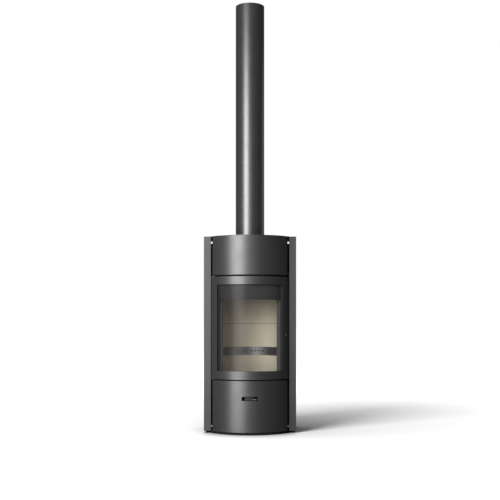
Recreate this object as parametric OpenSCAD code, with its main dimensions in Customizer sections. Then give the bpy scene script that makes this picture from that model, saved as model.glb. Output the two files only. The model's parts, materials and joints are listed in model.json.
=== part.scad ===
// Wood burning stove with a curved glazed door, flat side wings, an ash drawer and a straight flue pipe.
// Units are millimetres. Z is up from the floor, the door faces -Y, and X = 0 is the middle plane.

/* [Outer body] */
// Overall width over the two side wings
body_width = 487; // [440:1:540]
// Radius of the curved front, about the flue axis
front_radius = 243; // [225:1:260]
// Distance from the flue axis back to the rear panel
rear_depth = 157; // [150:1:180]
// Distance from the flue axis forward to the face of the wings
wing_front = 125; // [115:1:135]
// Width of a wing's front flange
wing_flange = 36.8; // [30:0.1:45]
// Height of the underside of the top plate
top_height = 1030; // [1010:1:1060]
// Thickness of the top plate
top_thickness = 5; // [4:0.5:8]
// Sheet thickness of wings, covers and rear panel
sheet = 2.5; // [2:0.1:3]
// Height of the bottom edge of the wings
wing_bottom = 10.4; // [8:0.1:14]
// Bottom edge of the rear panel
rear_bottom = 8; // [6:0.5:12]
// Top edge of the rear panel
rear_top = 1019; // [1005:1:1025]

/* [Flue] */
// Inside radius of the flue pipe
flue_bore = 75; // [60:0.5:100]
// Wall thickness of the flue pipe
flue_wall = 2; // [1:0.1:3]
// Height of the open top of the flue pipe
flue_top = 2285; // [1600:5:2600]
// Depth of the socket in the top of the flue pipe, down to its stop bead
socket_depth = 60; // [40:5:80]

/* [Door] */
// Bottom edge of the door
door_bottom = 286; // [280:1:295]
// Top edge of the door
door_top = 821; // [800:1:825]
// Thickness of the door frame
door_thickness = 12; // [10:0.5:14]
// Half of the angle that the door frame covers
door_angle = 56.65; // [55:0.05:57]
// Half of the angle of the glazed opening
window_angle = 45.06; // [42:0.02:46]
// Bottom edge of the glazed opening
window_bottom = 329; // [320:1:340]
// Top edge of the glazed opening
window_top = 780; // [770:1:785]
// Thickness of the ceramic glass
glass = 4; // [3:0.5:5]
// Radius of the hinge axis from the flue axis
hinge_radius = 237; // [236:0.5:238]
// Angle of the hinge axis, from the front towards the left
hinge_angle = 54.5; // [54:0.1:55]
// Radius of the hinge pins
hinge_pin = 4; // [3:0.1:4.5]
// Radial running clearance of pins in their bores
running_gap = 0.06; // [0.02:0.01:0.1]
// Angle of the latch spindle, from the front towards the right
latch_angle = 50.7; // [50:0.1:51]
// Height of the latch spindle
latch_height = 517; // [500:1:540]
// Radius of the latch spindle
latch_pin = 4.75; // [4:0.05:5]

/* [Firebox] */
// Distance from the flue axis forward to the centre of the rounded firebox back
fire_shift = 48; // [45:1:50]
// Outside radius of the firebox shell
shell_radius = 178; // [176:0.5:178]
// Thickness of the firebox steel
plate = 4; // [3:0.5:4]
// Inside radius of the lining
lining_radius = 148; // [146:0.5:150]
// Thickness of the lining bricks
lining_thickness = 25; // [22:0.5:25]
// Level of the joint between the lower and upper lining
lining_joint = 576; // [560:1:590]
// Width of the joint between the lower and upper lining
lining_gap = 1.8; // [0.6:0.2:2.4]
// Top edge of the firebox mouth
mouth_top = 700; // [695:1:705]
// Half of the angle of the firebox mouth
mouth_angle = 45.9; // [45.5:0.1:46.1]
// Underside of the firebox floor
floor_height = 282; // [280:0.5:282]
// Height of the top of the firebox
roof_height = 1000; // [980:1:1005]
// Centre height of the row of tertiary air holes
air_row = 425; // [415:1:435]
// Radius of a tertiary air hole
air_hole = 4; // [3:0.1:5]

/* [Lower compartment] */
// Bottom edge of the lower front panel
lower_bottom = 12.8; // [12:0.1:14]
// Top edge of the lower front panel
lower_top = 279; // [278:0.1:279.5]
// Half of the angle of the upper and lower front panels
panel_angle = 54.17; // [53:0.02:54.5]
// Height of the middle of the air control slot
slot_height = 188; // [187:0.5:189]
// Radius at which the air control shield turns
shield_radius = 100; // [98:0.5:101]
// Height of the centre of the rear air intake
intake_height = 215; // [213:0.5:216]
// Outside radius of the air intake spigot
intake_radius = 50; // [45:0.5:50]
// Length that the air intake stands out behind the rear panel
intake_length = 30; // [28:0.5:40]

/* [Hidden] */
$fn = 96;
flue_y = (front_radius - rear_depth - intake_length) / 2;
half_width = body_width / 2;
wing_inner = half_width - wing_flange;
door_inner = front_radius - door_thickness;
seat_radius = door_inner - 8;
seat_inner = seat_radius - 5;
hearth_base = floor_height + plate;
hearth_top = hearth_base + 16;
lining_top = 716;
channel_bottom = mouth_top + 6;
plinth_radius = front_radius - 5;
pivot_y = -125;
base_top = 18;
pipe_bottom = top_height + top_thickness + 1;
bead_bottom = flue_top - socket_depth - 4;
drawer_half = 160;
drawer_bottom = 27;
drawer_top = 160;

// Moves a piece from the flue axis to its place in the row frame
module on_axis() translate([0, flue_y, 0]) children();

// Part of a ring about the flue axis; angles run from the front towards the right
module arc(r_in, r_out, z0, z1, a0, a1)
    rotate([0, 0, a0 - 90]) rotate_extrude(angle = a1 - a0)
        translate([r_in, z0]) square([r_out - r_in, z1 - z0]);

// A bar along X, Y or Z given by its two corners
module block(low, high) translate(low) cube(high - low);

// The same piece on both sides of the middle plane
module both_sides() {
    children();
    mirror([1, 0, 0]) children();
}

// Plan of the firebox: rounded behind, straight sides running forward
module fire_plan(r) translate([0, -fire_shift]) {
    circle(r);
    translate([-r, -200]) square([2 * r, 200]);
}

// Plan of the plinth: curved front with short shoulders, then a narrower body
module plinth_plan(inset) {
    intersection() {
        circle(plinth_radius - inset);
        translate([inset - 205, -300]) square([410 - 2 * inset, 182 - inset]);
    }
    translate([inset - 193, -120]) square([386 - 2 * inset, 270 - inset]);
}

// Centres of the four levelling bolts
module at_bolts() for (x = [-150, 150], y = [-100, 105]) translate([x, y, 0]) children();

// Plan of the top plate
module top_plan() {
    circle(front_radius);
    translate([-half_width, -wing_front]) square([body_width, wing_front + rear_depth]);
}

// Row of holes for tertiary air, bored from front to back
module air_row_holes()
    for (x = [-70 : 20 : 70]) translate([x, 0, air_row]) rotate([-90, 0, 0]) cylinder(r = air_hole, h = 200);

// Places a piece on the hinge axis of the door
module at_hinge() rotate([0, 0, -hinge_angle]) translate([0, -hinge_radius, 0]) children();

// Points +Z outwards along the latch spindle, with its start at the flue axis
module on_latch() translate([0, 0, latch_height]) rotate([0, 0, latch_angle]) rotate([90, 0, 0]) children();

// Moves a piece to the pivot of the air control
module on_pivot() translate([0, pivot_y, 0]) children();

// Openings that the rotary air valve covers and uncovers
module valve_ports(turn) for (a = [30, 150, 270]) rotate([0, 0, a + turn]) translate([26, 0, 190])
    cylinder(r = 10, h = 30);

module plinth() color("#181818") on_axis() difference() {
    linear_extrude(12) plinth_plan(0);
    translate([0, 0, 3]) linear_extrude(20) plinth_plan(3);
    at_bolts() translate([0, 0, -1]) cylinder(r = 6.5, h = 20);
}

module base_plate() color("#202020") on_axis() difference() {
    translate([0, 0, 12]) linear_extrude(base_top - 12) plinth_plan(0);
    at_bolts() cylinder(r = 6, h = 30);
}

module levelling_bolts() color("#8a8a8a") on_axis() at_bolts() {
    cylinder(r = 6, h = base_top);
    translate([0, 0, base_top]) cylinder(r = 10, h = 6, $fn = 6);
}

module pedestal() color("#2a2a2a") on_axis() difference() {
    intersection() {
        block([-178, -200, base_top], [178, 130, floor_height]);
        union() {
            cylinder(r = seat_inner, h = 400);
            block([-200, 0, 0], [200, 200, 400]);
        }
    }
    block([-175, -300, 0], [175, 127, 400]);
    translate([0, 100, intake_height]) rotate([-90, 0, 0]) cylinder(r = intake_radius - 2, h = 60);
    block([-56, 100, 270], [56, 140, 279]);
}

module firebox_floor() color("#2a2a2a") on_axis() translate([0, 0, floor_height]) linear_extrude(plate)
    difference() {
        union() {
            translate([-178, -60]) square([356, 190]);
            intersection() {
                circle(seat_inner);
                translate([-178, -300]) square([356, 260]);
            }
        }
        translate([-70, -45]) square([140, 110]);
        translate([-50, -195]) square([100, 35]);
    }

module firebox_shell() color("#2c2c2c") on_axis() difference() {
    translate([0, 0, hearth_base]) linear_extrude(roof_height - plate - hearth_base) intersection() {
        difference() {
            fire_plan(shell_radius);
            fire_plan(shell_radius - plate);
        }
        circle(seat_inner);
    }
    air_row_holes();
}

module firebox_front() color("#303030") on_axis() difference() {
    arc(seat_inner, seat_radius, 260, roof_height, -58.5, 58.5);
    arc(seat_inner - 5, seat_radius + 5, 312, mouth_top, -mouth_angle, mouth_angle);
    for (a = [-24, 0, 24]) arc(seat_inner - 5, seat_radius + 5, 783, 789, a - 9, a + 9);
}

module firebox_roof() color("#2c2c2c") on_axis() translate([0, 0, roof_height - plate])
    linear_extrude(plate) difference() {
        intersection() {
            fire_plan(shell_radius);
            circle(seat_inner);
        }
        circle(flue_bore - 3);
    }

module flue_collar() color("#2c2c2c") on_axis() translate([0, 0, roof_height]) difference() {
    cylinder(r = flue_bore - 0.5, h = 75);
    translate([0, 0, -1]) cylinder(r = flue_bore - 3, h = 80);
}

// The pipe has a rolled bead inside, on which the next pipe stops
module flue_pipe() color("#555555") on_axis() difference() {
    translate([0, 0, pipe_bottom]) cylinder(r = flue_bore + flue_wall, h = flue_top - pipe_bottom);
    translate([0, 0, pipe_bottom - 1]) cylinder(r = flue_bore - 2, h = flue_top);
    translate([0, 0, pipe_bottom - 1]) cylinder(r = flue_bore, h = bead_bottom - pipe_bottom + 1);
    translate([0, 0, flue_top - socket_depth]) cylinder(r = flue_bore, h = socket_depth + 1);
}

module cover_ring() color("#3a3a3a") on_axis() translate([0, 0, top_height + top_thickness])
    rotate_extrude() polygon([[77.3, 0], [95, 0], [95, 3], [92, 6], [77.3, 6]]);

module top_plate() color("#454545") on_axis() translate([0, 0, top_height]) linear_extrude(top_thickness)
    difference() {
        intersection() {
            top_plan();
            translate([-half_width, -300]) square([body_width, 300 + rear_depth]);
        }
        circle(flue_bore + 1);
    }

module top_spacers() color("#333333") on_axis()
    for (p = [[-130, -60], [130, -60], [-100, 70], [100, 70]]) translate([p[0], p[1], roof_height])
        cylinder(r = 9, h = top_height - roof_height);

module upper_front_cover() color("#4a4a4a") on_axis()
    arc(front_radius - sheet, front_radius, door_top + 9, top_height, -panel_angle, panel_angle);

module cover_brackets() color("#333333") on_axis() for (a = [-38, 32], z = [850, 975]) {
    arc(seat_radius, front_radius - sheet, z, z + 3, a, a + 6);
    arc(seat_radius, seat_radius + 2.5, z + 3, z + 20, a, a + 6);
    arc(front_radius - sheet - 2.5, front_radius - sheet, z + 3, z + 20, a, a + 6);
}

// Right-hand wing: a folded sheet with a front flange, a side and a rear return
module wing() on_axis() translate([0, 0, wing_bottom]) linear_extrude(top_height - wing_bottom) {
    translate([wing_inner, -wing_front]) square([wing_flange, sheet]);
    translate([wing_inner, -wing_front]) square([sheet, 12]);
    translate([half_width - sheet, -wing_front]) square([sheet, wing_front + rear_depth]);
    translate([half_width - 22, rear_depth - 2 * sheet]) square([22, sheet]);
}

module right_wing() color("#4a4a4a") wing();

module left_wing() color("#4a4a4a") mirror([1, 0, 0]) wing();

module wing_brackets() color("#333333") on_axis() both_sides() for (z = [60, 500, 940]) {
    block([shell_radius, -20, z], [half_width - sheet, 20, z + 3]);
    block([shell_radius, -20, z + 3], [shell_radius + 3, 20, z + 25]);
    block([half_width - sheet - 3, -20, z + 3], [half_width - sheet, 20, z + 25]);
}

module rear_panel() color("#3c3c3c") on_axis() difference() {
    block([sheet - half_width, rear_depth - sheet, rear_bottom], [half_width - sheet, rear_depth, rear_top]);
    translate([0, 100, intake_height]) rotate([-90, 0, 0]) cylinder(r = intake_radius + 4, h = 100);
    for (x = [-150 : 75 : 150], z = [60, 80, 930, 950, 970])
        block([x - 28, rear_depth - 10, z], [x + 28, rear_depth + 10, z + 8]);
}

module rear_screws() color("#8a8a8a") on_axis() for (x = [-230, 230], z = [40, 360, 680, 990])
    translate([x, rear_depth, z]) rotate([-90, 0, 0]) difference() {
        cylinder(r = 4.5, h = 2.2);
        translate([0, 0, 1]) cylinder(r = 1.8, h = 3, $fn = 6);
    }

module air_spigot() color("#6a6a6a") on_axis() translate([0, 118, intake_height]) rotate([-90, 0, 0])
    difference() {
        union() {
            cylinder(r = intake_radius - 2, h = rear_depth - 118);
            translate([0, 0, rear_depth - 118]) cylinder(r = intake_radius + 10, h = 2);
            translate([0, 0, rear_depth - 118]) cylinder(r = intake_radius, h = intake_length);
        }
        translate([0, 0, -1]) cylinder(r = intake_radius - 4, h = 200);
    }

// Right-hand jamb: a strip folded into two facets and a rear leg. It runs from the edge of the firebox
// mouth to the side brick and leads heated air up to the air wash channel
module jamb() on_axis() translate([0, 0, hearth_top]) linear_extrude(channel_bottom - hearth_top)
    polygon([[156.3, -151.4], [149, -144.1], [141, -128.5], [173, -128.5], [173, -131], [145.1, -131],
        [151, -142.5], [158.1, -149.6]]);

module right_jamb() color("#3a3a3a") jamb();

module left_jamb() color("#3a3a3a") mirror([1, 0, 0]) jamb();

// Channel behind the firebox front: it takes the air from the jambs to the three air wash slots
module air_wash_deflector() color("#3a3a3a") on_axis() difference() {
    intersection() {
        union() {
            arc(208, 210, channel_bottom, 806, -56, 56);
            arc(210, seat_inner, 804, 806, -56, 56);
            arc(210, seat_inner, channel_bottom, channel_bottom + 2, -mouth_angle, mouth_angle);
        }
        block([-173.8, -300, 0], [173.8, 0, 1000]);
    }
    both_sides() block([145, -128.5, 600], [180, -40, lining_top + 1]);
}

module back_lining(z0, z1) on_axis() difference() {
    translate([0, -fire_shift, z0]) rotate_extrude(angle = 180)
        translate([lining_radius, 0]) square([lining_thickness, z1 - z0]);
    air_row_holes();
}

module lining_back_lower() color("#c9bfa5") back_lining(hearth_base, lining_joint - lining_gap / 2);

module lining_back_upper() color("#c9bfa5") back_lining(lining_joint + lining_gap / 2, lining_top);

module side_lining() on_axis()
    block([lining_radius, -128, hearth_base], [lining_radius + lining_thickness, -fire_shift - 0.5, lining_top]);

module lining_right() color("#c9bfa5") side_lining();

module lining_left() color("#c9bfa5") mirror([1, 0, 0]) side_lining();

module hearth_brick() color("#c9bfa5") on_axis() difference() {
    translate([0, 0, hearth_base]) linear_extrude(16) intersection() {
        fire_plan(lining_radius - 0.5);
        translate([-200, -140]) square([400, 400]);
    }
    block([-75.5, -50.5, 200], [75.5, 70.5, 400]);
    both_sides() block([140.5, -150, 200], [160, -127.5, 400]);
}

module grate() color("#262626") on_axis() difference() {
    block([-75, -50, hearth_base], [75, 70, hearth_top]);
    for (x = [-54 : 18 : 54]) block([x - 4, -38, 200], [x + 4, 58, 400]);
    block([-62, -38, 200], [62, 58, hearth_base + 6]);
}

module baffle_lower() color("#bfb59c") on_axis() translate([0, 0, lining_top]) linear_extrude(25)
    intersection() {
        fire_plan(lining_radius + lining_thickness);
        translate([-200, -112]) square([400, 400]);
    }

module baffle_upper() color("#2c2c2c") on_axis() translate([0, 0, 860]) linear_extrude(plate) intersection() {
    fire_plan(shell_radius - plate);
    circle(seat_inner);
    translate([-200, -300]) square([400, 360]);
}

module tertiary_air_band() color("#555555") on_axis() difference() {
    translate([0, -fire_shift, air_row - 23]) rotate([0, 0, 5]) rotate_extrude(angle = 170)
        translate([lining_radius - sheet, 0]) square([sheet, 46]);
    air_row_holes();
}

module rear_air_duct() color("#333333") on_axis() difference() {
    block([-80, 60, 266], [80, 152, 450]);
    block([-78, 50, 268], [78, 150, 448]);
    block([-100, 50, 200], [100, 130, floor_height + plate]);
    translate([0, -fire_shift, 200]) cylinder(r = shell_radius, h = 300);
}

module ash_chute() color("#2c2c2c") on_axis() difference() {
    block([-70, -45, 166], [70, 65, floor_height]);
    block([-68, -43, 100], [68, 63, 400]);
}

module air_valve_box() color("#333333") on_axis() difference() {
    block([-60, -200, 204], [60, -75, floor_height]);
    block([-58, -198, 206], [58, -77, 400]);
    on_pivot() {
        cylinder(r = 5, h = 400);
        valve_ports(0);
    }
}

module lever_pivot() color("#8a8a8a") on_axis() on_pivot() {
    translate([0, 0, 173]) cylinder(r = 9, h = 4);
    translate([0, 0, 177]) cylinder(r = 5, h = 29);
    translate([0, 0, 206]) cylinder(r = 9, h = 5);
}

module hinge_brackets() color("#303030") on_axis() difference() {
    union() {
        arc(seat_radius, 241, 822, 828, -57.5, -50.5);
        arc(seat_radius, seat_radius + 2.5, 828, 850, -57.5, -50.5);
        arc(seat_radius, 241, 280.4, 285.4, -57.5, -50.5);
        arc(seat_radius, seat_radius + 2.5, 262, 280.4, -57.5, -50.5);
    }
    at_hinge() cylinder(r = hinge_pin, h = 900);
}

module hinge_pins() color("#9a9a9a") on_axis() at_hinge() {
    translate([0, 0, door_top - 19.5]) cylinder(r = hinge_pin, h = 26.5);
    translate([0, 0, 280.4]) cylinder(r = hinge_pin, h = door_bottom + 19.5 - 280.4);
}

module latch_keeper() color("#303030") on_axis() {
    arc(seat_radius, 230.5, latch_height - 12, latch_height + 12, 57, 58.4);
    arc(228.4, 230.5, latch_height - 12, latch_height + 12, 54.2, 57);
}

module drawer_runners() color("#6a6a6a") on_axis() both_sides() {
    block([165, -120, 50], [175, 120, 53]);
    block([172.5, -120, 53], [175, 120, 75]);
}

module door_frame() color("#4a4a4a") on_axis() difference() {
    arc(door_inner, front_radius, door_bottom, door_top, -door_angle, door_angle);
    arc(door_inner - 5, front_radius + 5, window_bottom, window_top, -window_angle, window_angle);
    at_hinge() {
        cylinder(r = hinge_pin + running_gap, h = door_bottom + 20);
        translate([0, 0, door_top - 20]) cylinder(r = hinge_pin + running_gap, h = 40);
    }
    on_latch() cylinder(r = latch_pin + running_gap, h = 300);
}

module door_glass() color("#303438", 0.35) on_axis()
    arc(door_inner - 1 - glass, door_inner - 1, window_bottom - 8, window_top + 8, -46, 46);

module glass_gasket() color("#101010") on_axis() difference() {
    arc(door_inner - 1, door_inner, window_bottom - 8, window_top + 8, -46, 46);
    arc(door_inner - 5, door_inner + 5, window_bottom + 0.5, window_top - 0.5, -44.4, 44.4);
}

module door_gasket() color("#8d8d86") on_axis() difference() {
    arc(seat_radius + 0.5, door_inner, 297, 810, -48.75, 48.75);
    arc(seat_radius - 5, door_inner + 5, 307, 800, -46.25, 46.25);
}

// Angles and heights of the clip screws
module at_clip_screws() for (a = [-36, -12, 12, 36], z = [793, 315])
    rotate([0, 0, a]) translate([0, 0, z]) rotate([90, 0, 0]) children();

module glass_clips() color("#6a6a6a") on_axis() difference() {
    for (a = [-36, -12, 12, 36]) {
        arc(224, 226, 781.5, 798, a - 2.5, a + 2.5);
        arc(226, door_inner, 788.2, 798, a - 2.5, a + 2.5);
        arc(224, 226, 310, 327.5, a - 2.5, a + 2.5);
        arc(226, door_inner, 310, 320.8, a - 2.5, a + 2.5);
    }
    at_clip_screws() {
        cylinder(r = 1.55, h = 300);
        cylinder(r = 3.3, h = 226);
    }
}

// Clip screws with cheese heads sunk into the clips
module clip_screws() color("#9a9a9a") on_axis() at_clip_screws() difference() {
    union() {
        translate([0, 0, 224.2]) cylinder(r = 3.1, h = 1.8);
        translate([0, 0, 226]) cylinder(r = 1.5, h = door_inner - 226);
    }
    translate([-0.4, -4, 224]) cube([0.8, 8, 0.9]);
}

module latch_spindle() color("#a8a8a8") on_axis() on_latch() difference() {
    union() {
        translate([0, 0, 224.4]) cylinder(r = latch_pin, h = front_radius + 0.6 - 224.4);
        translate([0, 0, 226.9]) cylinder(r = 6.8, h = 3.5);
    }
    translate([-2, -2, front_radius - 6]) cube([4, 4, 10]);
}

module latch_hook() color("#6a6a6a") on_axis() on_latch() translate([0, 0, 224.4]) difference() {
    union() {
        cylinder(r = 6.8, h = 2.5);
        translate([-5, 0, 0]) cube([10, 17, 2.5]);
        translate([0, 17, 0]) cylinder(r = 5, h = 2.5);
    }
    translate([0, 0, -1]) cylinder(r = latch_pin, h = 5);
}

module air_lever() color("#6a6a6a") on_axis() on_pivot() difference() {
    union() {
        translate([0, 0, 184]) cylinder(r = 12, h = 16);
        intersection() {
            rotate([0, 0, 6]) block([-6, -110, 184], [6, 0, 188]);
            cylinder(r = 94, h = 300);
        }
    }
    translate([0, 0, 150]) cylinder(r = 5 + running_gap, h = 100);
}

module air_valve_disc() color("#6a6a6a") on_axis() on_pivot() difference() {
    translate([0, 0, 200]) cylinder(r = 42, h = 3.6);
    translate([0, 0, 150]) cylinder(r = 5 + running_gap, h = 100);
    valve_ports(-16);
}

module lever_shield() color("#7a7a7a") on_axis() on_pivot()
    arc(shield_radius - 2, shield_radius, slot_height - 9, slot_height + 9, -15.7, 9.2);

module lever_tab() color("#b0b0b0") on_axis() on_pivot() {
    arc(94, shield_radius - 2, slot_height - 7, slot_height - 1, 2, 16.8);
    arc(shield_radius - 2, shield_radius + 13, slot_height - 7, slot_height - 1, 9.2, 16.8);
}

module lower_front() color("#4a4a4a") on_axis() difference() {
    arc(front_radius - sheet, front_radius, lower_bottom, lower_top, -panel_angle, panel_angle);
    arc(front_radius - 10, front_radius + 5, slot_height - 11, slot_height + 11, -10.19, 9.23);
}

module drawer_box() color("#5a5a5a") on_axis() difference() {
    intersection() {
        block([-drawer_half, -300, drawer_bottom], [drawer_half, 110, drawer_top]);
        union() {
            cylinder(r = front_radius - sheet, h = 400);
            block([-200, 0, 0], [200, 200, 400]);
        }
    }
    block([1.5 - drawer_half, -400, drawer_bottom + 1.5], [drawer_half - 1.5, 108.5, 400]);
}

module drawer_rails() color("#6a6a6a") on_axis() both_sides()
    block([drawer_half, -118, 53.5], [171.5, 108, 56]);

module ash_pan() color("#707070") on_axis() difference() {
    block([-145, -175, drawer_bottom + 1.5], [145, 100, 130]);
    block([-143.5, -173.5, drawer_bottom + 3], [143.5, 98.5, 200]);
}

module pan_handle() color("#8a8a8a") on_axis() {
    translate([-143.5, -125, 121]) rotate([0, 90, 0]) cylinder(r = 4, h = 287);
}

plinth();
base_plate();
levelling_bolts();
pedestal();
firebox_floor();
firebox_shell();
firebox_front();
firebox_roof();
flue_collar();
flue_pipe();
cover_ring();
top_plate();
top_spacers();
upper_front_cover();
cover_brackets();
left_wing();
right_wing();
wing_brackets();
rear_panel();
rear_screws();
air_spigot();
left_jamb();
right_jamb();
air_wash_deflector();
lining_back_lower();
lining_back_upper();
lining_left();
lining_right();
hearth_brick();
grate();
baffle_lower();
baffle_upper();
tertiary_air_band();
rear_air_duct();
ash_chute();
air_valve_box();
lever_pivot();
hinge_brackets();
hinge_pins();
latch_keeper();
drawer_runners();
door_frame();
door_glass();
glass_gasket();
door_gasket();
glass_clips();
clip_screws();
latch_spindle();
latch_hook();
air_lever();
air_valve_disc();
lever_shield();
lever_tab();
lower_front();
drawer_box();
drawer_rails();
ash_pan();
pan_handle();
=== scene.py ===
"""Looks of the wood burning stove: materials, rope seal, pipe weld, studio light and camera."""

import json
import math

import bmesh
import bpy
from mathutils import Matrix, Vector


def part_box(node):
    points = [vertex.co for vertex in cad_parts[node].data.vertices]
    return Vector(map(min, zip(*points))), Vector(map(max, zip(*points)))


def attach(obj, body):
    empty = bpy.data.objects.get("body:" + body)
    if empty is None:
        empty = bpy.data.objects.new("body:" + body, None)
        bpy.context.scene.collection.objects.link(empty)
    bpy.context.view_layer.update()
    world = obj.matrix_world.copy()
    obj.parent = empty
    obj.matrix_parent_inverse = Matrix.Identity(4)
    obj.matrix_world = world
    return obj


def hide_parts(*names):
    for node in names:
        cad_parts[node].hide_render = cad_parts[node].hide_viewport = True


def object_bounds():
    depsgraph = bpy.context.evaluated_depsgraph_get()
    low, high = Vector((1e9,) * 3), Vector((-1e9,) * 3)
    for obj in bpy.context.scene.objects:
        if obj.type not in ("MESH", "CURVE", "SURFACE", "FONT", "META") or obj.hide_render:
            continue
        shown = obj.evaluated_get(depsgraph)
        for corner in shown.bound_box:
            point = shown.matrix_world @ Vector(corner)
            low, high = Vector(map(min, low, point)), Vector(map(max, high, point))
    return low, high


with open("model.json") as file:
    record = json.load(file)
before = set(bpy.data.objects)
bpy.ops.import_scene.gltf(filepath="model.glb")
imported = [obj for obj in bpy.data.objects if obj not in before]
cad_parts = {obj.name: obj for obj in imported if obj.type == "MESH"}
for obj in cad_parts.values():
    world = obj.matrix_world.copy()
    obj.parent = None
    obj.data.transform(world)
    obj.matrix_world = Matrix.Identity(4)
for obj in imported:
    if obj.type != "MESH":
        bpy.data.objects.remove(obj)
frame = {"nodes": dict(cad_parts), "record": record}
cad_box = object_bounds()
nodes = frame["nodes"]

pipe_low, pipe_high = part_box("flue_pipe")
AXIS_Y = (pipe_low.y + pipe_high.y) / 2  # the flue axis, about which the front is curved

# ---------------------------------------------------------------- camera
LENS_MM = 69.15
SENSOR_MM = 36
SHIFT_UP = 0.138
CLIP_END = 100
CAMERA_DISTANCE = 5.19  # from the flue axis
CAMERA_HEIGHT = 0.6

camera_data = bpy.data.cameras.new("camera")
camera_data.lens = LENS_MM
camera_data.sensor_width = SENSOR_MM
camera_data.shift_y = SHIFT_UP
camera_data.clip_end = CLIP_END
camera = bpy.data.objects.new("camera", camera_data)
camera.location = (0, AXIS_Y - CAMERA_DISTANCE, CAMERA_HEIGHT)
camera.rotation_euler = (math.radians(90), 0, 0)
bpy.context.scene.collection.objects.link(camera)
bpy.context.scene.camera = camera
bpy.context.scene.view_settings.view_transform = "Standard"

# ---------------------------------------------------------------- material helpers
CLOUD_SPREAD = 0.07  # how far the clouds in paint go from the mean grey, either way
GRAIN_SCALE = 900
GRAIN_SHADE = 0.35  # share of the darker tone in the paint's grain
GRAIN_TONE = 0.8  # that tone, as a multiple of the grey
GRAIN_HEIGHT = 0.00005
GRAIN_STRENGTH = 0.6
EDGE_RUB = 0.5  # share of the paler tone along rubbed edges
EDGE_TONE = 2.2  # that tone, as a multiple of the grey
EDGE_LIFT = 0.01  # and added to it
ROUGHNESS_SPREAD = 0.025
USUAL_GLOSS = 0.5  # the specular level that the shader starts with


def rgb(value, warm=0.0):
    """A grey, made a little warmer or cooler."""
    return (value * (1 + warm), value, value * (1 - warm), 1)


class Tree:
    """A material with one Principled shader, and short calls for the nodes around it."""

    def __init__(self, name):
        self.material = bpy.data.materials.new(name)
        self.material.use_nodes = True
        self.tree = self.material.node_tree
        self.shader = next(n for n in self.tree.nodes if n.type == "BSDF_PRINCIPLED")
        self.output = next(n for n in self.tree.nodes if n.type == "OUTPUT_MATERIAL")
        coordinates = self.node("ShaderNodeTexCoord").outputs
        self.place = coordinates["Object"]
        self.facing = coordinates["Normal"]

    def node(self, kind, inputs=None, **settings):
        n = self.tree.nodes.new(kind)
        for key, value in settings.items():
            setattr(n, key, value)
        for key, value in (inputs or {}).items():
            self.feed(n.inputs[key], value)
        return n

    def feed(self, socket, value):
        if isinstance(value, bpy.types.NodeSocket):
            self.tree.links.new(value, socket)
        else:
            socket.default_value = value

    def set(self, **values):
        for key, value in values.items():
            self.feed(self.shader.inputs[key.replace("_", " ")], value)

    def noise(self, scale, detail=3.0, roughness=0.55, stretch=(1, 1, 1)):
        place = self.node("ShaderNodeMapping", {"Vector": self.place, "Scale": stretch}).outputs[0]
        return self.node(
            "ShaderNodeTexNoise",
            {"Vector": place, "Scale": scale, "Detail": detail, "Roughness": roughness},
        ).outputs["Fac"]

    def cells(self, scale):
        inputs = {"Vector": self.place, "Scale": scale}
        return self.node("ShaderNodeTexVoronoi", inputs, feature="F1").outputs

    def ramp(self, value, low, high, to_low=0.0, to_high=1.0):
        limits = {"From Min": low, "From Max": high, "To Min": to_low, "To Max": to_high}
        return self.node("ShaderNodeMapRange", {"Value": value, **limits}).outputs[0]

    def blend(self, share, a, b):
        n = self.node("ShaderNodeMix", data_type="RGBA")
        for socket, value in zip((n.inputs[0], n.inputs[6], n.inputs[7]), (share, a, b)):
            self.feed(socket, value)
        return n.outputs[2]

    def math(self, operation, a, b=0.0):
        return self.node("ShaderNodeMath", {0: a, 1: b}, operation=operation).outputs[0]

    def split(self, vector):
        return self.node("ShaderNodeSeparateXYZ", {0: vector}).outputs

    def bump(self, height, distance, strength=1.0, below=None):
        inputs = {"Height": height, "Distance": distance, "Strength": strength}
        if below is not None:
            inputs["Normal"] = below
        return self.node("ShaderNodeBump", inputs).outputs[0]

    def occlusion(self, reach):
        """1 in the open, less where something stands within reach."""
        inputs = {"Distance": reach}
        return self.node("ShaderNodeAmbientOcclusion", inputs, samples=8).outputs["AO"]

    def edges(self, radius=0.0015):
        """1 along convex and concave edges, 0 elsewhere."""
        rounded = self.node("ShaderNodeBevel", {"Radius": radius}, samples=4).outputs[0]
        normal = self.node("ShaderNodeNewGeometry").outputs["Normal"]
        pair = {0: rounded, 1: normal}
        same = self.node("ShaderNodeVectorMath", pair, operation="DOT_PRODUCT").outputs["Value"]
        return self.ramp(same, 0.99, 0.8)

    def grain(self):
        """The fine grain of sprayed paint."""
        return self.noise(GRAIN_SCALE, 2)

    def grain_bump(self, grain, height=GRAIN_HEIGHT):
        return self.bump(grain, height, GRAIN_STRENGTH)

    def clouds(self, grey):
        """A grey with faint, wide clouds."""
        share = self.ramp(self.noise(9, 4), 0.3, 0.7)
        return self.blend(share, rgb(grey * (1 - CLOUD_SPREAD)), rgb(grey * (1 + CLOUD_SPREAD)))

    def paint(self, grey, grain):
        """The colour of stove paint: clouds, grain and rubbed edges."""
        speckle = self.ramp(grain, 0.35, 0.65, 0, GRAIN_SHADE)
        tone = self.blend(speckle, self.clouds(grey), rgb(grey * GRAIN_TONE))
        rubbed = self.math("MULTIPLY", self.edges(), EDGE_RUB)
        return self.blend(rubbed, tone, rgb(grey * EDGE_TONE + EDGE_LIFT))

    def paint_roughness(self, roughness):
        low, high = roughness - ROUGHNESS_SPREAD, roughness + ROUGHNESS_SPREAD
        return self.ramp(self.noise(16, 5), 0.3, 0.7, low, high)


# ---------------------------------------------------------------- materials
PAINT_GREY = 0.019
PAINT_ROUGHNESS = 0.38
DUST_COLOUR = (0.12, 0.11, 0.1, 1)

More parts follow.
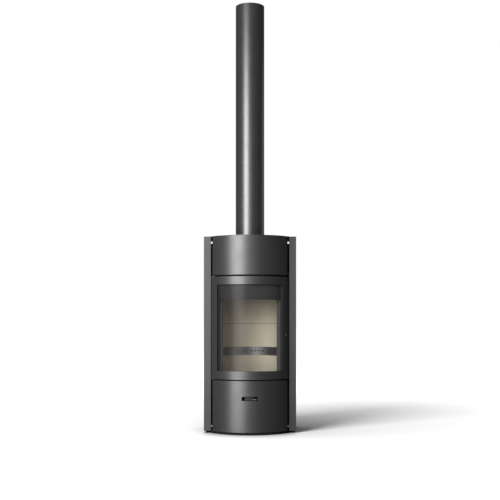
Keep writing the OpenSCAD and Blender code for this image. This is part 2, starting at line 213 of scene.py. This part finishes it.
WINDOW_EDGE_X = (0.169, 0.172)  # where the mouth plate goes out of sight behind the door frame, and its painted black shade starts
WINDOW_FOOT_Z = (0.306, 0.31)
WINDOW_HEAD_Z = (0.79, 0.794)
PAINTED_LIGHT_X = (-0.03, 0.16)  # painted light: the mouth plate is painted paler towards the right across this
PAINTED_LIGHT_PALER = 4  # times

REVEAL_TURN = (-0.1, -0.07)  # x times the normal's x, on the faces turned in to the window
REVEAL_GREY = 0.006
INSIDE_TURN = (-0.6, -0.4)  # the normal's y, on the faces turned to the firebox, painted near black as painted shade
INSIDE_ROUGHNESS = 0.9

BOARD_DARK = (0.476, 0.435, 0.335, 1)
BOARD_PALE = (0.54, 0.495, 0.388, 1)
MICA_DARK = (0.3, 0.25, 0.18, 1)
MICA_BRIGHT = (0.7, 0.66, 0.56, 1)
SOOT_AND_SHADE_COLOUR = (0.1, 0.092, 0.078, 1)
SOOT_AND_SHADE_Z = (0.58, 0.72)  # soot and painted shade: the lining gets darker towards the smoke outlet
RUST_COLOUR = (0.13, 0.07, 0.04, 1)

GLASS_TINT = (0.87, 0.868, 0.87, 1)
GLASS_SHEEN = 0.095  # share of gloss seen straight on
GLASS_IOR = 1.5


def painted(name, grey, roughness, dust=0.0, gloss=USUAL_GLOSS):
    """Sprayed heat-resistant paint: fine grain, faint clouds in tone and gloss, rubbed edges."""
    t = Tree(name)
    grain = t.grain()
    tone = t.paint(grey, grain)
    if dust:
        tone = t.blend(t.ramp(t.noise(14, 6, 0.7), 0.45, 0.75, 0, dust), tone, DUST_COLOUR)
    t.set(
        Base_Color=tone,
        Roughness=t.paint_roughness(roughness),
        Specular_IOR_Level=gloss,
        Normal=t.grain_bump(grain),
    )
    return t.material


def mouth_paint_painted_light_and_shade(name, seen, hidden_painted_shade):
    """Matt heat-proof paint, greyed by ash behind the glass, painted paler to the right as painted
    light, and painted near-black shade all round the window.
    """
    t = Tree(name)
    across, _, height = t.split(t.place)
    # painted shade: outside the window the plate is made near black, standing in for the shade of
    # the door and covers
    behind = t.ramp(t.math("ABSOLUTE", across), *WINDOW_EDGE_X, 1, 0)
    behind = t.math("MULTIPLY", behind, t.ramp(height, *WINDOW_FOOT_Z))
    behind = t.math("MULTIPLY", behind, t.ramp(height, *WINDOW_HEAD_Z, 1, 0))
    grain = t.grain()
    ash_and_painted_light = t.blend(t.ramp(t.noise(11, 5), 0.35, 0.7), rgb(seen * 0.9), rgb(seen * 1.12))
    # painted light: the plate is made paler towards the right, standing in for light
    ash_and_painted_light = t.blend(t.ramp(across, *PAINTED_LIGHT_X, 0, 0.8), ash_and_painted_light, rgb(seen * PAINTED_LIGHT_PALER))
    t.set(
        Base_Color=t.blend(behind, rgb(hidden_painted_shade), ash_and_painted_light),
        Roughness=t.ramp(grain, 0.3, 0.7, 0.72, 0.82),
        Specular_IOR_Level=0.2,
        Normal=t.grain_bump(grain, 0.00006),
    )
    return t.material


def door_paint(name, grey, roughness):
    """Stove paint, near black on the faces of the window's reveal."""
    t = Tree(name)
    turned_in = t.math("MULTIPLY", t.split(t.place)[0], t.split(t.facing)[0])
    reveal = t.ramp(turned_in, *REVEAL_TURN, 1, 0)
    grain = t.grain()
    t.set(
        Base_Color=t.blend(reveal, t.paint(grey, grain), rgb(REVEAL_GREY)),
        Roughness=t.paint_roughness(roughness),
        Normal=t.grain_bump(grain),
    )
    return t.material


def inside_painted_shade(name, outer, inner_painted_shade, roughness):
    """Stove paint outside; the face turned to the firebox is dull and near black, painted shade for
    the gaps that look onto it.
    """
    t = Tree(name)
    # painted shade: faces turned to the firebox are made near black
    outside = t.ramp(t.split(t.facing)[1], *INSIDE_TURN)
    t.set(
        Base_Color=t.blend(outside, rgb(inner_painted_shade), t.clouds(outer)),
        Roughness=t.ramp(outside, 0, 1, INSIDE_ROUGHNESS, roughness),
        Normal=t.grain_bump(t.grain()),
    )
    return t.material


def vermiculite(name):
    """Pressed vermiculite board: pale beige with darker and brighter mica, darker above with soot
    and painted shade.
    """
    t = Tree(name)
    specks = t.ramp(t.cells(260)["Distance"], 0.05, 0.35, 1, 0)
    dark = t.math("MULTIPLY", specks, t.ramp(t.noise(120, 2), 0.55, 0.75, 0, 0.5))
    bright = t.ramp(t.noise(430, 1), 0.66, 0.74, 0, 0.5)
    patches = t.ramp(t.noise(9, 5, 0.65), 0.25, 0.7, 0.3, 0.5)
    # soot and painted shade: darker patches towards the top, where the plate above the window
    # shades the lining
    soot_and_shade = t.math("MULTIPLY", t.ramp(t.split(t.place)[2], *SOOT_AND_SHADE_Z), patches)
    tone = t.blend(t.ramp(t.noise(6, 5), 0.3, 0.7), BOARD_DARK, BOARD_PALE)
    for share, colour in ((dark, MICA_DARK), (bright, MICA_BRIGHT), (soot_and_shade, SOOT_AND_SHADE_COLOUR)):
        tone = t.blend(share, tone, colour)
    rough = t.bump(t.noise(190, 4, 0.7), 0.0006, 0.5)
    t.set(
        Base_Color=tone,
        Roughness=t.ramp(specks, 0, 1, 0.9, 0.7),
        Normal=t.bump(specks, 0.0002, 0.4, rough),
    )
    return t.material


def cast_iron(name):
    """Bare cast iron: coarse sand-cast skin with a trace of rust."""
    t = Tree(name)
    tone = t.blend(t.ramp(t.noise(40, 6), 0.4, 0.7), rgb(0.035), rgb(0.075, 0.05))
    tone = t.blend(t.ramp(t.noise(90, 4), 0.62, 0.8, 0, 0.5), tone, RUST_COLOUR)
    t.set(
        Base_Color=tone,
        Metallic=0.35,
        Roughness=t.ramp(t.noise(70, 3), 0.3, 0.7, 0.55, 0.75),
        Normal=t.bump(t.noise(520, 3, 0.7), 0.0004, 0.7),
    )
    return t.material


def plated(name, grey, roughness, relief=0.00004):
    """Plated or bare steel with drawn lines and slight tarnish."""
    t = Tree(name)
    lines = t.noise(420, 2, 0.5, (1, 1, 0.06))
    tone = t.blend(t.ramp(t.noise(25, 4), 0.35, 0.7), rgb(grey), rgb(grey * 0.78))
    tone = t.blend(t.math("MULTIPLY", t.edges(), 0.4), tone, rgb(grey * 1.4))
    t.set(
        Base_Color=tone,
        Metallic=1.0,
        Roughness=t.ramp(lines, 0.3, 0.7, roughness - 0.06, roughness + 0.08),
        Normal=t.bump(lines, relief, 0.5),
    )
    return t.material


def galvanised(name):
    """Hot-dip galvanised sheet: large pale crystals with a soft sheen."""
    t = Tree(name)
    spangle = t.cells(85)["Color"]
    tone = t.blend(t.ramp(spangle, 0.1, 0.9), rgb(0.34, -0.02), rgb(0.52, -0.02))
    tone = t.blend(t.ramp(t.noise(12, 5), 0.5, 0.8, 0, 0.4), tone, rgb(0.25))
    t.set(
        Base_Color=tone,
        Metallic=0.9,
        Roughness=t.ramp(spangle, 0, 1, 0.36, 0.5),
        Normal=t.bump(t.noise(60, 3), 0.0001, 0.3),
    )
    return t.material


def rope_fibre(name, low, high):
    """White glass-fibre yarn, a little smoked, for strands that are modelled."""
    t = Tree(name)
    yarn = t.noise(2200, 3, 0.6, (1, 1, 0.35))
    smoke = t.ramp(t.noise(22, 4), 0.45, 0.75, 0, 0.6)
    tone = t.blend(smoke, t.blend(yarn, rgb(low, 0.02), rgb(high, 0.02)), rgb(low * 0.45, 0.05))
    t.set(
        Base_Color=tone,
        Roughness=t.ramp(yarn, 0, 1, 0.85, 1.0),
        Normal=t.bump(yarn, 0.0002, 0.7),
    )
    return t.material


def woven(name, low, high, scale):
    """Glass-fibre tape: crossing strands with fine fibres."""
    t = Tree(name)
    pattern = {"Vector": t.place, "Scale": scale, "Distortion": 1.5, "Detail": 1.0}
    strands = t.node("ShaderNodeTexWave", pattern, bands_direction="DIAGONAL").outputs["Fac"]
    fibres = t.noise(1400, 3, 0.6)
    tone = t.blend(strands, rgb(low), rgb(high))
    tone = t.blend(t.ramp(fibres, 0.4, 0.7, 0, 0.4), tone, rgb(low * 0.7))
    t.set(
        Base_Color=tone,
        Roughness=t.ramp(fibres, 0, 1, 0.85, 1.0),
        Normal=t.bump(strands, 0.0004, 0.8),
    )
    return t.material


def stove_glass(name):
    """Clear glass-ceramic with a soft sheen, stronger at a glancing view, and the faintest film."""
    t = Tree(name)
    film = t.noise(7, 5)
    t.set(
        Base_Color=t.blend(t.ramp(film, 0.3, 0.8), rgb(0.02), rgb(0.06)),
        Roughness=t.ramp(film, 0.3, 0.7, 0.26, 0.32),
        IOR=GLASS_IOR,
    )
    clear = t.node("ShaderNodeBsdfTransparent", {"Color": GLASS_TINT}).outputs[0]
    glancing = t.node("ShaderNodeLayerWeight", {"Blend": 0.5}).outputs["Facing"]
    share = t.ramp(t.math("POWER", glancing, 5.0), 0, 1, GLASS_SHEEN, 1.0)
    mix = t.node("ShaderNodeMixShader", {0: share, 1: clear, 2: t.shader.outputs[0]})
    t.feed(t.output.inputs["Surface"], mix.outputs[0])
    return t.material


MATERIALS = {  # by the record's material slot
    "body_paint": painted("stove_paint", PAINT_GREY, PAINT_ROUGHNESS),
    "pipe_paint": painted("pipe_paint", PAINT_GREY, 0.355, gloss=0.74),
    "plinth_paint": painted("plinth_paint", 0.005, 0.85, gloss=0.15),
    "firebox_steel": painted("firebox_steel", 0.012, 0.45, dust=0.1),
    "vermiculite": vermiculite("vermiculite"),
    "cast_grate": cast_iron("cast_grate"),
    "ceramic_glass": stove_glass("ceramic_glass"),
    "rope_gasket": rope_fibre("rope_gasket", 0.26, 0.46),
    "tape_gasket": woven("tape_gasket", 0.012, 0.035, 120),
    "zinc_steel": plated("zinc_steel", 0.55, 0.32),
    "galvanised": galvanised("galvanised"),
}

OWN_MATERIAL = {  # by node, where it looks different from the rest of its slot
    "firebox_front": mouth_paint_painted_light_and_shade("mouth_paint_painted_light_and_shade", 0.022, 0.003),
    "rear_panel": inside_painted_shade("rear_panel_paint_and_painted_shade", PAINT_GREY, 0.003, PAINT_ROUGHNESS),
    "top_plate": painted("top_plate_paint", 0.012, 0.45),
    "door_frame": door_paint("door_paint", PAINT_GREY, PAINT_ROUGHNESS),
    # painted light: the left jamb lies in shade, so it is made paler than the right one
    "left_jamb": painted("jamb_steel_painted_light", 0.2, 0.5),
    "right_jamb": painted("jamb_steel", 0.095, 0.5),
    "tertiary_air_band": plated("band_steel", 0.18, 0.52, relief=0.000015),
    "lever_shield": painted("shield_paint", 0.009, 0.75),
    "air_lever": plated("dark_steel", 0.03, 0.6),
}

slot_of = {part["node"]: part["material_slot"] for part in frame["record"]["subparts"]}
for name, node in nodes.items():
    node.data.materials.clear()
    node.data.materials.append(OWN_MATERIAL.get(name, MATERIALS[slot_of[name]]))

# ---------------------------------------------------------------- softened edges of CAD pieces
EDGE_RADIUS = {
    "top_plate": 0.0012,
    "door_frame": 0.0015,
    "upper_front_cover": 0.0008,
    "lower_front": 0.0008,
    "left_wing": 0.0008,
    "right_wing": 0.0008,
    "grate": 0.0012,
    "lining_back_lower": 0.0004,
    "lining_back_upper": 0.0004,
    "hearth_brick": 0.001,
}
EDGE_SEGMENTS = 2
SHARP_ANGLE = 40  # an edge that turns less than this stays as it is

for name, radius in EDGE_RADIUS.items():
    bevel = nodes[name].modifiers.new("edges", "BEVEL")
    bevel.width = radius
    bevel.segments = EDGE_SEGMENTS
    bevel.limit_method = "ANGLE"
    bevel.angle_limit = math.radians(SHARP_ANGLE)

# ---------------------------------------------------------------- rope seal on the door's inside
ROPE_SECTION = (0.00725, 0.0096)  # across the seat, along the door
ROPE_GAP = 0.0001  # between the rope and the door frame that it lies on
ROPE_EDGE_ANGLE = 47.5  # of the rope's upright runs, about the flue axis
ROPE_CORNER = 0.009
CORNER_STEP = 15  # degrees
ROPE_PITCH = 0.019
STEPS_PER_PITCH = 12
STRANDS = 3
STRAND_RADIUS = 0.0023
STRAND_SIDES = 6


def mesh_object(name, points, faces):
    """A smooth-shaded closed mesh whose faces all look outward."""
    mesh = bpy.data.meshes.new(name)
    mesh.from_pydata(points, [], faces)
    solid = bmesh.new()
    solid.from_mesh(mesh)
    bmesh.ops.recalc_face_normals(solid, faces=solid.faces)
    solid.to_mesh(mesh)
    solid.free()
    mesh.polygons.foreach_set("use_smooth", [True] * len(faces))
    mesh.update()
    obj = bpy.data.objects.new(name, mesh)
    bpy.context.scene.collection.objects.link(obj)
    return obj


def rounded_loop(half_width, low, high, corner, step):
    """Evenly spaced points of a rounded rectangle on the unrolled door, about step apart."""
    loop = []
    for side, height, start in ((1, low, -90), (1, high, 0), (-1, high, 90), (-1, low, 180)):
        x = side * (half_width - corner)
        z = height + corner if height == low else height - corner
        for a in range(start, start + 91, CORNER_STEP):
            turn = math.radians(a)
            loop.append(Vector((x + corner * math.cos(turn), z + corner * math.sin(turn))))
    lengths = [(loop[(i + 1) % len(loop)] - p).length for i, p in enumerate(loop)]
    count = round(sum(lengths) / step)
    spacing, points, done, i = sum(lengths) / count, [], 0.0, 0
    for k in range(count):
        while k * spacing > done + lengths[i]:
            done += lengths[i]
            i += 1
        share = (k * spacing - done) / lengths[i]
        points.append(loop[i].lerp(loop[(i + 1) % len(loop)], share))
    return points


def rope_seal(name, node):
    """Twisted glass-fibre rope, pressed oval, in a closed loop on the curved inside of the door."""
    low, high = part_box(node)
    radius = AXIS_Y - low.y - ROPE_SECTION[0] / 2 - ROPE_GAP
    half_width = radius * math.radians(ROPE_EDGE_ANGLE)
    inset = ROPE_SECTION[1] / 2
    step = ROPE_PITCH / STEPS_PER_PITCH
    path = rounded_loop(half_width, low.z + inset, high.z - inset, ROPE_CORNER, step)
    count, turns = len(path), round(len(path) / STEPS_PER_PITCH)
    reach_out, reach_side = (width / 2 - STRAND_RADIUS for width in ROPE_SECTION)
    points, faces = [], []
    for strand in range(STRANDS):
        line, outward = [], []
        for k, p in enumerate(path):
            angle = p.x / radius
            out = Vector((math.sin(angle), -math.cos(angle), 0))
            along = (path[(k + 1) % count] - path[k - 1]).normalized()
            side = Vector((math.cos(angle), math.sin(angle), 0)) * -along.y
            side += Vector((0, 0, along.x))
            turn = 2 * math.pi * (k * turns / count + strand / STRANDS)
            swing = out * reach_out * math.cos(turn) + side * reach_side * math.sin(turn)
            line.append(Vector((0, AXIS_Y, p.y)) + out * radius + swing)
            outward.append(out)
        first = len(points)
        for k, p in enumerate(line):
            ahead = (line[(k + 1) % count] - line[k - 1]).normalized()
            up = (outward[k] - ahead * outward[k].dot(ahead)).normalized()
            across = ahead.cross(up)
            for j in range(STRAND_SIDES):
                a = 2 * math.pi * j / STRAND_SIDES
                points.append(p + (up * math.cos(a) + across * math.sin(a)) * STRAND_RADIUS)
        for k in range(count):
            a, b = first + STRAND_SIDES * k, first + STRAND_SIDES * ((k + 1) % count)
            for j in range(STRAND_SIDES):
                after = (j + 1) % STRAND_SIDES
                faces.append((a + j, b + j, b + after, a + after))
    return mesh_object(name, points, faces)


rope = rope_seal("rope_seal", "door_gasket")
rope.data.materials.append(MATERIALS["rope_gasket"])
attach(rope, "door")
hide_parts("door_gasket")

# ---------------------------------------------------------------- weld up the back of the pipe
SEAM_WIDTH = 0.0045
SEAM_HEIGHT = 0.0006
SEAM_RIPPLE = 0.0035  # from one ripple to the next
ROWS_PER_RIPPLE = 4
RIPPLE_DEPTH = 0.2  # share of the height
SEAM_COLUMNS = 6
SEAM_SAG = 0.0009  # how far a ripple's ends hang below its middle
SEAM_SINK = 0.0003  # of the bead's edges, under the face of the pipe
ROOT_SINK = 0.0012
SEAM_START = 0.03  # above the top plate
SEAM_END = 0.012  # below the open end of the pipe


def weld_seam(name, node, foot):
    """A rippled weld bead, up the back of the pipe above its cover ring."""
    low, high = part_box(node)
    radius = (high.x - low.x) / 2
    bottom, top = foot + SEAM_START, high.z - SEAM_END
    rows = round((top - bottom) / SEAM_RIPPLE * ROWS_PER_RIPPLE)
    points, faces = [], []
    for i in range(rows + 1):
        z = bottom + (top - bottom) * i / rows
        wave = math.cos(2 * math.pi * i / ROWS_PER_RIPPLE)
        ripple = 1 - RIPPLE_DEPTH + RIPPLE_DEPTH * wave
        for j in range(SEAM_COLUMNS + 1):
            share = 2 * j / SEAM_COLUMNS - 1
            r = radius - SEAM_SINK + SEAM_HEIGHT * ripple * (1 - share * share)
            angle = share * SEAM_WIDTH / 2 / radius
            sag = SEAM_SAG * share * share
            points.append((r * math.sin(angle), AXIS_Y + r * math.cos(angle), z - sag))
        points.append((0, AXIS_Y + radius - ROOT_SINK, z))  # the root, sunk in the pipe wall
    ring = SEAM_COLUMNS + 2
    for i in range(rows):
        for j in range(ring):
            a, b = i * ring + j, i * ring + (j + 1) % ring
            faces.append((a, b, b + ring, a + ring))
    faces.append(tuple(range(ring)))
    faces.append(tuple(range(rows * ring, (rows + 1) * ring)))
    return mesh_object(name, points, faces)


seam = weld_seam("pipe_seam", "flue_pipe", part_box("top_plate")[1].z)
seam.data.materials.append(MATERIALS["pipe_paint"])
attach(seam, "stove")

# ---------------------------------------------------------------- floor
FLOOR_HALF = 60
FLOOR_DROP = 0.0005  # under the foot of the stove
FADE = (0.3, 3.2)  # distance over which the lit floor goes over into the white room
CONTACT_REACH = 0.12  # of the dark shadow under the curved front
CONTACT_X = (0.235, 0.25)  # it ends at the wings
WIDE_REACH = 1.0  # of the faint wide shading
WIDE_SHARE = 0.7
WIDE_X = (-0.34, -0.22)  # it is weaker beside the left wing, on the side of the key lamp
WIDE_LEFT = 0.25  # how much of it stays there


def pale_floor(name):
    """A pale floor with contact shading, which glows white further out so that no edge shows."""
    t = Tree(name)
    across = t.split(t.place)[0]
    length = t.node("ShaderNodeVectorMath", {0: t.place}, operation="LENGTH").outputs["Value"]
    # painted shade: the floor's colour darkens near the stove by occlusion, less to the left of it
    contact = t.ramp(t.occlusion(CONTACT_REACH), 0, 1, 1, 0)
    contact = t.math("MULTIPLY", contact, t.ramp(t.math("ABSOLUTE", across), *CONTACT_X, 1, 0))
    wide = t.ramp(t.occlusion(WIDE_REACH), 0, 1, WIDE_SHARE, 0)
    wide = t.math("MULTIPLY", wide, t.ramp(across, *WIDE_X, WIDE_LEFT, 1))
    pale = t.blend(wide, t.blend(t.noise(2), rgb(0.9), rgb(0.91)), rgb(0.1))
    t.set(
        Base_Color=t.blend(contact, pale, rgb(0.02)),
        Roughness=0.9,
        Specular_IOR_Level=0.0,
        Emission_Color=rgb(1.0),
        Emission_Strength=t.ramp(length, *FADE),
    )
    return t.material


floor_mesh = bpy.data.meshes.new("floor")
corners = [(x * FLOOR_HALF, y * FLOOR_HALF, 0) for x, y in ((-1, -1), (1, -1), (1, 1), (-1, 1))]
floor_mesh.from_pydata(corners, [], [(0, 1, 2, 3)])
floor_mesh.materials.append(pale_floor("floor"))
floor = bpy.data.objects.new("floor", floor_mesh)
floor.location.z = cad_box[0][2] - FLOOR_DROP
floor.visible_diffuse = floor.visible_glossy = floor.visible_shadow = False

# Lamps that suit the dark paint would wash the floor out, so the floor has lamps of its own.
floors = bpy.data.collections.new("floors")
bpy.context.scene.collection.children.link(floors)
floors.objects.link(floor)
not_floors = bpy.data.collections.new("all_but_floors")
not_floors.objects.link(floor)
not_floors.collection_objects[0].light_linking.link_state = "EXCLUDE"

# ---------------------------------------------------------------- room
AMBIENT = 0.11  # what the room gives from every side

world = bpy.data.worlds.new("studio")
bpy.context.scene.world = world
world.use_nodes = True
tree = world.node_tree
room = tree.nodes["Background"]
room.inputs["Strength"].default_value = AMBIENT
room.inputs["Color"].default_value = rgb(1.0)
backdrop = tree.nodes.new("ShaderNodeBackground")
backdrop.inputs["Color"].default_value = rgb(1.0)
ray = tree.nodes.new("ShaderNodeLightPath")
mix = tree.nodes.new("ShaderNodeMixShader")
tree.links.new(ray.outputs["Is Camera Ray"], mix.inputs[0])
tree.links.new(room.outputs[0], mix.inputs[1])
tree.links.new(backdrop.outputs[0], mix.inputs[2])
tree.links.new(mix.outputs[0], tree.nodes["World Output"].inputs["Surface"])

# ---------------------------------------------------------------- lamps
KEY_AZIMUTH = 30.6
KEY_DISTANCE = 3.4
KEY_WIDTH = 1.9


def softbox(name, azimuth, distance, height, size, radiance, pitch=0.0, lights=not_floors):
    """A rectangular lamp. Azimuth runs from the camera's side to the left, about the flue axis."""
    lamp = bpy.data.lights.new(name, "AREA")
    lamp.shape = "RECTANGLE"
    lamp.size, lamp.size_y = size
    lamp.energy = radiance * math.pi * size[0] * size[1]
    light = bpy.data.objects.new(name, lamp)
    a = math.radians(azimuth)
    light.location = (-distance * math.sin(a), AXIS_Y - distance * math.cos(a), height)
    light.rotation_euler = (math.radians(90 - pitch), 0, -a)
    bpy.context.scene.collection.objects.link(light)
    light.light_linking.receiver_collection = lights


# name, azimuth, distance, height, (width, height of the lamp), radiance
softbox("key", KEY_AZIMUTH, KEY_DISTANCE, 1.74, (KEY_WIDTH, 1.98), 19.8)
softbox("key_low", KEY_AZIMUTH, KEY_DISTANCE, 0.075, (KEY_WIDTH, 0.65), 17.9)
softbox("front_fill", -3, 4.0, 1.3, (1.2, 2.6), 1.45)
softbox("right_fill", -128, 3.5, 1.3, (2.2, 3.0), 0.5)
softbox("back_fill", 180, 2.4, 4.8, (2.4, 2.4), 26.0, pitch=60)
softbox("floor_key", 35, KEY_DISTANCE, 2.4, (1.8, 1.9), 25.5, pitch=34, lights=floors)
softbox("floor_room", 0, 0.1, 6.0, (9.0, 9.0), 0.32, pitch=90, lights=floors)
